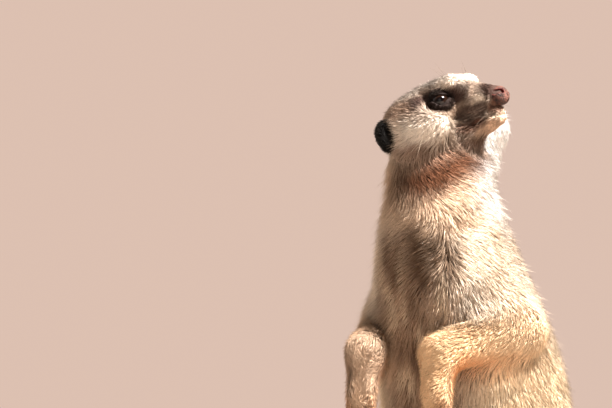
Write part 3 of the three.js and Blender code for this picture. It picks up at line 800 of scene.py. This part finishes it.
def growRoots(points, faces):
    corners = points[faces]
    middle = corners.mean(1)
    sides = corners[:, 1] - corners[:, 0], corners[:, 2] - corners[:, 0]
    area = np.linalg.norm(np.cross(*sides), axis=-1) / 2
    found, q, s = masses(middle)
    own = shares(found, s)
    length, width, layers = coatSizes(own)[1:]
    wanted = area * layers / (tuftLook["covers"] * length * width)
    bare = ellipsoid(q, nose["at"], nose["radii"]) < bareSkin["nose"]
    bare |= middle[:, 2] < onFloor + bareSkin["floor"]
    fromEye = s - eye["at"]
    halfLong, halfHigh = bareSkin["slit"]
    inSlit = (np.abs(fromEye @ slitAcross) < halfHigh) & (np.abs(fromEye @ slitAlong) < halfLong)
    bare |= (np.linalg.norm(fromEye, axis=-1) < bareSkin["eye"]) & inSlit & (fromEye @ gaze > 0)
    above, mouth = aboveLips(s)
    bare |= own["muzzle"] * mouth * (np.abs(above) < bareSkin["lips"]) > 0.5
    wanted[bare] = 0
    reached = np.cumsum(wanted)
    marks = np.arange(0.5, reached[-1])
    marks = marks + dice.uniform(-0.4, 0.4, len(marks))
    face = np.clip(np.searchsorted(reached, marks), 0, len(faces) - 1)
    a, b = dice.uniform(size=(2, len(face), 1))
    a, b = np.where(a + b > 1, 1 - a, a), np.where(a + b > 1, 1 - b, b)
    c = corners[face]
    return c[:, 0] + a * (c[:, 1] - c[:, 0]) + b * (c[:, 2] - c[:, 0])


def tuftsAt(root):  # everything that a tuft needs at its root
    found, q, s = masses(root)
    own = shares(found, s)
    depth, length, width = coatSizes(own)[:3]
    normal = unit(slopeOf(skinField, root))
    lean = np.stack([ripple(root, 9, seed) for seed in (21, 22, 23)], -1)
    lie = unit(lieAt(root, q, s, own)) + tuftLook["lean"] * lean
    lie = lie + dice.normal(0, tuftLook["scatter"], root.shape)
    lie = unit(lie - (lie * normal).sum(-1, keepdims=True) * normal)
    lift = np.radians(sum(own[part] * coatLift.get(part, usualLift) for part in own))[:, None]
    lift = lift * dice.uniform(*tuftLook["lift"], lift.shape)
    onCheeks = own["head"] * smooth(s[:, 2], -8, -18) * smooth(s[:, 0], 22, 8)
    length = length * (1 + tuftLook["onCheeks"] * onCheeks)  # longer along their lower edge
    length = length * dice.uniform(*tuftLook["lengths"], len(root))
    length = length * (1 + tuftLook["waves"] * ripple(root, 7, 24))
    direction = lie * np.cos(lift) + normal * np.sin(lift)
    tip = root + direction * length[:, None]
    stray = dice.uniform(size=len(root)) < tuftLook["strays"]  # guard hairs that stand out of the coat
    height = depth * dice.uniform(*tuftLook["heights"], len(root))
    height = height * np.where(stray, tuftLook["strayHeight"], 1)
    curl = np.clip(inPieces(skinField, tip) - height, -0.5 * length, 0.5 * length)
    fall = root[:, 2] - (tip - curl[:, None] * normal)[:, 2]
    room = (root[:, 2] - tuftLook["clearance"]) / np.maximum(fall, 1e-6)
    shorter = np.where(fall > 0, np.clip(room, tuftLook["shortest"], 1), 1)  # none goes under the floor
    length, curl = length * shorter, curl * shorter
    clump = ripple(root * [1, 1, 0.35], 3.2, 25) * 0.6 + ripple(root, 9, 26) * 0.3
    tone = np.clip(clump + dice.normal(0, tuftLook["tones"], len(root)), -tuftLook["mostTone"],
                   tuftLook["mostTone"])
    grizzle = 1 + 1.4 * own["head"] * smooth(s[:, 2], -3, 6) + 1.3 * own["muzzle"] + 0.3 * own["trunk"]
    return {
        "at": root, "normal": normal, "lie": direction, "curl": curl / 1000,
        "size": np.stack([width, length, tuftLook["thickness"] * width], -1) / 1000,
        "colour": paintAt(root, q, s, own), "q": q, "own": own, "tone": grizzle * tone,
    }


def tuftShape(name, rings):  # a closed tuft along +Y: place, half width and ridge of each ring
    points, places, along = [], [], []
    for t, halfWidth, ridge in rings:
        for x, z in ((-halfWidth, 0), (halfWidth, 0), (0, ridge)):
            points.append((x, t, z))
            places.append((x / 2, t - 0.5 + 0.12 * (z > 0), 0))
            along.append(t)
    points.append((0, 1, 0))
    places.append((0, 0.5, 0))
    along.append(1)
    tip = len(points) - 1
    faces = [(0, 1, 2)]
    for ring in range(0, tip - 3, 3):
        for i, j in ((0, 1), (1, 2), (2, 0)):
            faces += [(ring + i, ring + 3 + i, ring + 3 + j), (ring + i, ring + 3 + j, ring + j)]
    faces += [(tip - 3 + i, tip, tip - 3 + j) for i, j in ((0, 1), (1, 2), (2, 0))]
    shape = newMesh(name, np.array(points, float), np.array(faces))
    store(shape, "bladePlace", "FLOAT_VECTOR", places)
    store(shape, "along", "FLOAT", along)
    return bpy.data.objects.new(name, shape)


def growthTree():  # copies of one shape on the points that carry its place, turn and size
    tree = bpy.data.node_groups.new("growth", "GeometryNodeTree")
    face = tree.interface
    face.new_socket("Geometry", in_out="INPUT", socket_type="NodeSocketGeometry")
    for label, kind in (("Shape", "Object"), ("Material", "Material"), ("Patch size", "Float"),
                        ("Size spread", "Float"), ("Seed", "Int")):
        face.new_socket(label, in_out="INPUT", socket_type="NodeSocket" + kind)
    face.new_socket("Geometry", in_out="OUTPUT", socket_type="NodeSocketGeometry")
    nodes, link = tree.nodes, tree.links.new
    given, result = nodes.new("NodeGroupInput"), nodes.new("NodeGroupOutput")

    def named(name, kind="FLOAT_VECTOR"):
        node = nodes.new("GeometryNodeInputNamedAttribute")
        node.data_type = kind
        node.inputs["Name"].default_value = name
        return node.outputs["Attribute"]

    def vectorMath(operation, a, b):
        node = nodes.new("ShaderNodeVectorMath")
        node.operation = operation
        link(a, node.inputs[0])
        link(b, node.inputs["Scale" if operation == "SCALE" else 1])
        return node.outputs[0]

    shape = nodes.new("GeometryNodeObjectInfo")
    link(given.outputs["Shape"], shape.inputs["Object"])
    turn = nodes.new("FunctionNodeAxesToRotation")
    turn.primary_axis, turn.secondary_axis = "Y", "Z"
    link(named("lie"), turn.inputs["Primary Axis"])
    link(named("normal"), turn.inputs["Secondary Axis"])
    spread = nodes.new("FunctionNodeRandomValue")
    spread.data_type = "FLOAT"
    link(given.outputs["Seed"], spread.inputs["Seed"])
    shortest = mathNode(tree, "SUBTRACT", 1.0, given.outputs["Size spread"])
    link(shortest, spread.inputs[2])
    spread.inputs[3].default_value = 1.0
    copies = nodes.new("GeometryNodeInstanceOnPoints")
    link(given.outputs["Geometry"], copies.inputs["Points"])
    link(shape.outputs["Geometry"], copies.inputs["Instance"])
    link(turn.outputs[0], copies.inputs["Rotation"])
    link(vectorMath("SCALE", named("size"), spread.outputs[1]), copies.inputs["Scale"])
    real = nodes.new("GeometryNodeRealizeInstances")
    link(copies.outputs[0], real.inputs[0])
    bend = mathNode(tree, "MULTIPLY", named("along", "FLOAT"), named("along", "FLOAT"))
    bend = mathNode(tree, "MULTIPLY", mathNode(tree, "MULTIPLY", bend, named("curl", "FLOAT")), -1.0)
    laid = nodes.new("GeometryNodeSetPosition")
    link(real.outputs[0], laid.inputs["Geometry"])
    link(vectorMath("SCALE", named("normal"), bend), laid.inputs["Offset"])
    mapped = nodes.new("GeometryNodeStoreNamedAttribute")
    mapped.data_type, mapped.domain = "FLOAT2", "CORNER"
    mapped.inputs["Name"].default_value = "OFBake"
    link(laid.outputs[0], mapped.inputs["Geometry"])
    patch = vectorMath("SCALE", named("bladePlace"), given.outputs["Patch size"])
    link(vectorMath("ADD", patch, named("patch")), mapped.inputs["Value"])
    surface = nodes.new("GeometryNodeSetMaterial")
    link(mapped.outputs[0], surface.inputs["Geometry"])
    link(given.outputs["Material"], surface.inputs["Material"])
    link(surface.outputs[0], result.inputs[0])
    return tree


growth = growthTree()


def grown(name, shape, material, tufts, patch):  # a plain mesh of shape copied to every tuft
    roots = bpy.data.meshes.new(name)
    roots.from_pydata(placed(tufts["at"]).tolist(), [], [])
    for key in ("lie", "normal", "size"):
        store(roots, key, "FLOAT_VECTOR", tufts[key])
    store(roots, "curl", "FLOAT", tufts["curl"])
    store(roots, "tone", "FLOAT", tufts["tone"])
    store(roots, "patch", "FLOAT_VECTOR", np.c_[patch, np.zeros(len(patch))])
    store(roots, "coatColour", "FLOAT_COLOR", np.c_[tufts["colour"], np.ones(len(patch))])
    source = newObject(name + "Roots", roots)
    modifier = source.modifiers.new("growth", "NODES")
    modifier.node_group = growth
    values = {"Shape": shape, "Material": material, "Patch size": coatMap["patch"],
              "Size spread": tuftLook["spread"], "Seed": tuftLook["seed"]}
    for socket in growth.interface.items_tree:
        if socket.in_out == "INPUT" and socket.name in values:
            modifier[socket.identifier] = values[socket.name]
    seen = source.evaluated_get(bpy.context.evaluated_depsgraph_get())
    mesh = bpy.data.meshes.new_from_object(seen)
    bpy.data.objects.remove(source)
    for key in ("lie", "normal", "size", "curl", "patch", "bladePlace"):
        mesh.attributes.remove(mesh.attributes[key])
    mesh.name = name
    return newObject(name, mesh)


def onMap(u, v):  # round and along, brought to the map's square
    square = [(c - c.min()) / max(c.max() - c.min(), 1e-6) for c in (u, v)]
    return coatMap["margin"] + (1 - 2 * coatMap["margin"]) * np.stack(square, -1)


tuft = tuftShape("tuft", [(0, 0.34, 0.35), (0.42, 0.5, 0.5)])
hair = hairMaterial()
tufts = tuftsAt(growRoots(points, faces))
none = np.zeros(len(tufts["at"]))
owned = [sum((tufts["own"][part] for part in parts), none) for slot, parts in regionOf.values()]
regions = list(regionOf)
regionIndex = np.argmax(owned, 0)
pastBand = tailPlace(tufts["at"])[0] > coatPieces["tipFrom"]
regionIndex[pastBand & (regionIndex == regions.index("tail"))] = regions.index("tailTip")
print("coat:", len(regionIndex), "tufts")
for number, (region, (slot, parts)) in enumerate(regionOf.items()):
    chosen = np.flatnonzero(regionIndex == number)
    u, v = patchesOf(region, tufts["at"][chosen], tufts["q"][chosen])
    order = np.argsort(u)
    for part, share in enumerate(np.array_split(order, math.ceil(len(order) / coatPieces["most"]))):
        members = chosen[share]
        own = {key: values[members] for key, values in tufts.items() if key not in ("q", "own")}
        name = f"coat_{region}_{part + 1}"
        finished(grown(name, tuft, hair, own, onMap(u[share], v[share])), slot)
    print(" ", region, len(chosen))

# Eyes
eyeLook = {
    "roughness": 0.08, "ior": 1.34, "coat": 0.15, "coatRoughness": 0.03,
    "stops": [(0.0, "#040202"), (0.34, "#060303"), (0.42, "#1a0d07"),
              (0.6, "#130a06"), (0.7, "#080403"), (1.0, "#0c0705")],  # from the pupil outwards
    "pupil": (2.0, 1.3), "edge": 0.33, "streakScale": 1500, "streaks": 0.06,
    "cornea": (0.35, 0.5), "rings": 40, "around": 56,
}


def eyeMaterial():
    material, tree, shader = newMaterial(
        "eye", Roughness=eyeLook["roughness"], IOR=eyeLook["ior"], Coat_Weight=eyeLook["coat"],
        Coat_Roughness=eyeLook["coatRoughness"])
    streaks = mathNode(tree, "MULTIPLY_ADD", grain(tree, eyeLook["streakScale"]), eyeLook["streaks"],
                       attributeNode(tree, "fromPupil"))
    tree.links.new(rampNode(tree, streaks, eyeLook["stops"]), shader.inputs["Base Color"])
    return material


def headSided(s, side):
    return s * np.array([1, side, 1])


def eyeBall():  # rings of points about the gaze
    points = []
    proud, width = eyeLook["cornea"]
    for ring in range(eyeLook["rings"] + 1):
        angle = math.pi * ring / eyeLook["rings"]
        dome = eye["radius"] + proud * math.exp(-((angle / width) ** 2))
        for step in range(eyeLook["around"]):
            turn = 2 * math.pi * step / eyeLook["around"]
            outwards = slitAlong * math.cos(turn) + slitAcross * math.sin(turn)
            points.append(eye["at"] + dome * (gaze * math.cos(angle) + outwards * math.sin(angle)))
    return np.array(points)


eyeSurface = eyeMaterial()
ball = eyeBall()
pupilLong, pupilHigh = eyeLook["pupil"]
across, along = (ball - eye["at"]) @ slitAcross / pupilHigh, (ball - eye["at"]) @ slitAlong / pupilLong
facing = np.clip(-((ball - eye["at"]) @ gaze), 0, None)
fromPupil = np.clip(np.hypot(along, across) * eyeLook["edge"] + facing, 0, 1)
for name, side in (("left", 1), ("right", -1)):
    mesh = newMesh("eye_" + name, placed(fromHead(headSided(ball, side))),
                   tubeFaces(eyeLook["rings"], eyeLook["around"]))
    store(mesh, "fromPupil", "FLOAT", fromPupil)
    closed(mesh, lambda bm: bmesh.ops.remove_doubles(bm, verts=bm.verts, dist=1e-6))
    finished(newObject("eyeball_" + name, mesh, eyeSurface), "eye", "eye_" + name)
print("eyes")

# Nose
noseLook = {
    "voxel": 0.3, "reach": 12, "wings": ((0.6, 3, 0.2), (3.6, 2.4, 3.4)),
    "underside": ((1.4, 0, -2), (3.2, 3.6, 2.8)),
    "nostril": ((3, 2.8, 1.4), 1.5, (0.2, 4.8, 1.8), 1.2),
    "groove": ((4.9, 0, 1), 0.35, (3.3, 0, -4.6), 0.55),
    "dark": "#170c08", "pink": "#623c30", "inside": "#54150f", "roughness": 0.6, "gloss": 0.25,
    "patchScale": 520, "patches": (3.2, -1.2), "pebbleScale": 1700, "pebbleDepth": -0.0004,
}


def fromNose(p, start, startRadius, end, endRadius):  # a hollow, its ends from the nose's middle
    at = np.array(nose["at"])
    return bone(p, at + start, startRadius, at + end, endRadius)


def noseField(p):
    q = toHead(p)
    s = bothSides(q, 1)
    d = ellipsoid(q, nose["at"], nose["radii"])
    for points, (place, radii), k in ((s, noseLook["wings"], 1.2), (q, noseLook["underside"], 1.5)):
        d = join(d, ellipsoid(points, np.array(nose["at"]) + place, radii), k)
    d = carve(d, fromNose(s, *noseLook["nostril"]), 0.5)
    return carve(d, fromNose(q, *noseLook["groove"]), 0.6)


def noseMaterial():
    material, tree, shader = newMaterial("noseLeather", Roughness=noseLook["roughness"],
                                         Specular_IOR_Level=noseLook["gloss"])
    grains = grain(tree, noseLook["patchScale"], 4)
    patches = mathNode(tree, "MULTIPLY_ADD", grains, *noseLook["patches"], clamp=True)
    colour = mixNode(tree, patches, opaque(noseLook["dark"]), opaque(noseLook["pink"]))
    colour = mixNode(tree, attributeNode(tree, "nostril"), colour, opaque(noseLook["inside"]))
    tree.links.new(colour, shader.inputs["Base Color"])
    pebbles = setting(tree.nodes.new("ShaderNodeTexVoronoi"), Scale=noseLook["pebbleScale"])
    place = tree.nodes.new("ShaderNodeTexCoord")
    tree.links.new(place.outputs["Object"], pebbles.inputs["Vector"])
    bumped(tree, shader, pebbles.outputs["Distance"], noseLook["pebbleDepth"])
    return material


middle = fromHead(np.array(nose["at"]))
nosePoints, noseQuads = surfaceOf(noseField, middle - noseLook["reach"], middle + noseLook["reach"],
                                  noseLook["voxel"])
nosePoints, noseFaces = refined(nosePoints, noseQuads, [])
nosePoints = onto(noseField, nosePoints)
nosePad = newObject("nose_pad", newMesh("nose_pad", placed(nosePoints), noseFaces), noseMaterial())
depth = fromNose(bothSides(toHead(nosePoints), 1), *noseLook["nostril"])
store(nosePad.data, "nostril", "FLOAT", smooth(depth, 0.5, 0.05))
finished(nosePad, "nose_skin", "nose")
print("nose")

# Claws
clawLook = {
    "rings": 9, "around": 10, "bend": 62, "narrow": 0.72, "taper": 0.7, "tip": 0.02,
    "fore": (13, 1.45), "hind": (8.5, 1.5), "set": 1.2, "sunk": {"fore": 0.4, "hind": -0.2},
    "dark": "#2b221d", "pale": "#75644f",
    "roughness": 0.35, "lineScale": 900, "lines": 0.4, "scratchScale": 1600, "scratchDepth": 0.0001,
}


def clawShape(name, length, radius):  # a curved claw along +Y, narrower from side to side
    points, along = [], []
    bend = math.radians(clawLook["bend"])
    for ring in range(clawLook["rings"]):
        t = ring / (clawLook["rings"] - 1)
        angle = bend * t
        arc = 1 / bend
        thick = radius * (1 - t) ** clawLook["taper"] + clawLook["tip"]
        for step in range(clawLook["around"]):
            turn = 2 * math.pi * step / clawLook["around"]
            x, z = clawLook["narrow"] * thick * math.cos(turn), thick * math.sin(turn)
            points.append((x, length * arc * math.sin(angle) + z * math.sin(angle),
                           length * arc * (math.cos(angle) - 1) + z * math.cos(angle)))
            along.append(t)
    mesh = newMesh(name, np.array(points, float), tubeFaces(clawLook["rings"] - 1, clawLook["around"]))
    store(mesh, "along", "FLOAT", along)
    return closed(mesh, lambda bm: bmesh.ops.holes_fill(bm, edges=bm.edges, sides=0))


def clawMaterial():
    material, tree, shader = newMaterial("claw", Roughness=clawLook["roughness"])
    lines = mathNode(tree, "MULTIPLY_ADD", grain(tree, clawLook["lineScale"], 2), clawLook["lines"],
                     attributeNode(tree, "along"))
    lines = mathNode(tree, "SUBTRACT", lines, clawLook["lines"] / 2, clamp=True)
    horn = rampNode(tree, lines, ((0, clawLook["dark"]), (1, clawLook["pale"])))
    tree.links.new(horn, shader.inputs["Base Color"])
    bumped(tree, shader, grain(tree, clawLook["scratchScale"]), clawLook["scratchDepth"])
    return material


horn = clawMaterial()
for kind, digit, joint, foot in (("fore", finger, "knuckles", "hand"), ("hind", toe, "ball", "foot")):
    shape = clawShape(kind, *clawLook[kind])
    for name, side in (("left", 1), ("right", -1)):
        meshes = bmesh.new()
        for root, tip, direction in digitLines(digit, joint):
            away = np.array([0, -1, 0] if kind == "fore" else [0, 0, 1], float)
            away = unit(away - (away @ direction) * direction)
            turn = np.stack([np.cross(direction, away), direction, away], -1)
            seat = tip - clawLook["set"] * direction - clawLook["sunk"][kind] * away
            copy = shape.copy()
            copy.transform(Matrix(turn.tolist()).to_4x4())
            copy.transform(Matrix.Translation(Vector(seat)))
            copy.transform(Matrix.Diagonal((side, 1, 1, 1)))
            meshes.from_mesh(copy)
            bpy.data.meshes.remove(copy)
        bmesh.ops.recalc_face_normals(meshes, faces=meshes.faces)
        mesh = bpy.data.meshes.new("claws")
        meshes.to_mesh(mesh)
        meshes.free()
        mesh.transform(Matrix.Scale(0.001, 4) @ Matrix.Translation(Vector(standsAt)))
        nodes = [f"{kind}_claw_{name}_{i}" for i in (1, 2, 3, 4)]
        finished(newObject(f"claws_{foot}_{name}", mesh, horn), "claw", *nodes)
print("claws")

# Whiskers
whiskers = {  # roots in the head's frame, how many, spread, length, way and colour
    "lip": ((37, 6.6, -10.5), 9, (5, 0, 3), 20, (-0.25, 0.95, -0.35), "#4d3c31"),
    "brow": ((24, 9, 11.5), 4, (3, 2, 1), 11, (-0.35, 0.45, 0.9), "#6b5a4c"),
    "cheek": ((14, 21, -13), 6, (6, 2, 4), 19, (-0.5, 0.55, -0.7), "#cdb8a0"),
    "chin": ((34, 3, -23), 6, (5, 2, 1), 9, (0.1, 0.3, -0.95), "#b09378"),
}
whiskerLook = {"thickness": (0.1, 0.09), "curl": 0.16, "scatter": 0.16, "lengths": (0.7, 1.15),
               "tones": 0.5}
taper = [(t, 0.5 * (1 - t) ** 0.5, 0.9 * (1 - t) ** 0.5) for t in (0, 0.2, 0.4, 0.6, 0.8)]
whiskerShape = tuftShape("whisker", taper)
at, lies, shades = [], [], []
for place, count, spread, length, way, shade in whiskers.values():
    for side in (1, -1):
        for _ in range(count):
            at.append(headSided(np.array(place) + dice.uniform(-1, 1, 3) * spread, side))
            direction = unit(np.array(way) + dice.normal(0, whiskerLook["scatter"], 3))
            lies.append((*headSided(direction, side), length * dice.uniform(*whiskerLook["lengths"])))
            shades.append(linear(shade))
at = onto(skinField, fromHead(np.array(at)), 6, 3)
lies = np.array(lies)
wide, deep = (np.full(len(at), across) for across in whiskerLook["thickness"])
bristle = {
    "at": at, "normal": unit(slopeOf(skinField, at)), "lie": lies[:, :3] @ headAxes.T,
    "curl": whiskerLook["curl"] * lies[:, 3] / 1000, "colour": np.array(shades),
    "size": np.stack([wide, lies[:, 3], deep], -1) / 1000,
    "tone": dice.normal(0, whiskerLook["tones"], len(at)),
}
finished(grown("whiskers", whiskerShape, hair, bristle, onMap(at[:, 0], at[:, 2])), "head_coat")
print("whiskers:", len(at))

# Floor, light and camera
stage = {
    "floor": "#857c74", "seenFloor": "#3f3a36", "radius": 2.2, "wall": (0.72, 0.53, 0.44, 1),
    "bounce": (1, 0.86, 0.78, 1), "fill": 0.16, "lit": (5, -10, 220),
}
floorMaterial, tree, shader = newMaterial("floor", Roughness=0.9)
direct = tree.nodes.new("ShaderNodeLightPath").outputs["Is Camera Ray"]  # looked at, the floor is darker
tone = mixNode(tree, direct, opaque(stage["floor"]), opaque(stage["seenFloor"]))
tree.links.new(tone, shader.inputs["Base Color"])
bm = bmesh.new()
bmesh.ops.create_circle(bm, cap_ends=True, segments=96, radius=stage["radius"])
floorMesh = bpy.data.meshes.new("floor")
bm.to_mesh(floorMesh)
bm.free()
newObject("floor", floorMesh, floorMaterial)

world = bpy.data.worlds.new("studio")
bpy.context.scene.world = world
world.use_nodes = True
sky = world.node_tree
fill, wall = sky.nodes["Background"], sky.nodes.new("ShaderNodeBackground")
fill.inputs["Color"].default_value = stage["bounce"]
fill.inputs["Strength"].default_value = stage["fill"]
wall.inputs["Color"].default_value = stage["wall"]
seen, choice = sky.nodes.new("ShaderNodeLightPath"), sky.nodes.new("ShaderNodeMixShader")
sky.links.new(seen.outputs["Is Camera Ray"], choice.inputs[0])
sky.links.new(fill.outputs[0], choice.inputs[1])
sky.links.new(wall.outputs[0], choice.inputs[2])
sky.links.new(choice.outputs[0], sky.nodes["World Output"].inputs["Surface"])

shot = {"azimuth": 40, "elevation": 0.5, "across": 7.0, "distance": 2.55, "aim": (-73.4, 244.7)}
turn = math.radians(shot["azimuth"])
rightwards = np.array([math.cos(turn), math.sin(turn), 0])
target = Vector(placed(rightwards * shot["aim"][0] + np.array([0, 0, shot["aim"][1]])))
tilt = math.radians(shot["elevation"])
back = Vector((math.sin(turn) * math.cos(tilt), -math.cos(turn) * math.cos(tilt), math.sin(tilt)))
camera = bpy.data.cameras.new("camera")
camera.lens = camera.sensor_width / 2 / math.tan(math.radians(shot["across"]) / 2)
cameraObject = bpy.data.objects.new("camera", camera)
cameraObject.location = target + back * shot["distance"]
cameraObject.rotation_euler = back.to_track_quat("Z", "Y").to_euler()
bpy.context.collection.objects.link(cameraObject)
bpy.context.scene.camera = cameraObject

lights = {  # azimuth and elevation from the animal, distance, size, watts and colour
    "sun": (91, 55, 3, 0.7, 830, (1, 0.975, 0.95)),
    "front": (20, 15, 1.8, 1.2, 4.2, (1, 0.93, 0.88)),
    "side": (-70, 25, 1.8, 1.2, 2, (1, 0.95, 0.92)),
}
focus = Vector(placed(np.array(stage["lit"])))
for name, (azimuth, elevation, distance, size, watts, colour) in lights.items():
    a, e = math.radians(azimuth), math.radians(elevation)
    towards = Vector((math.sin(a) * math.cos(e), -math.cos(a) * math.cos(e), math.sin(e)))
    lamp = bpy.data.lights.new(name, "AREA")
    lamp.size, lamp.energy, lamp.color = size, watts, colour
    lampObject = bpy.data.objects.new(name, lamp)
    lampObject.location = focus + towards * distance
    lampObject.rotation_euler = towards.to_track_quat("Z", "Y").to_euler()
    bpy.context.collection.objects.link(lampObject)
bpy.context.scene.view_settings.view_transform = "Standard"
print("stage")
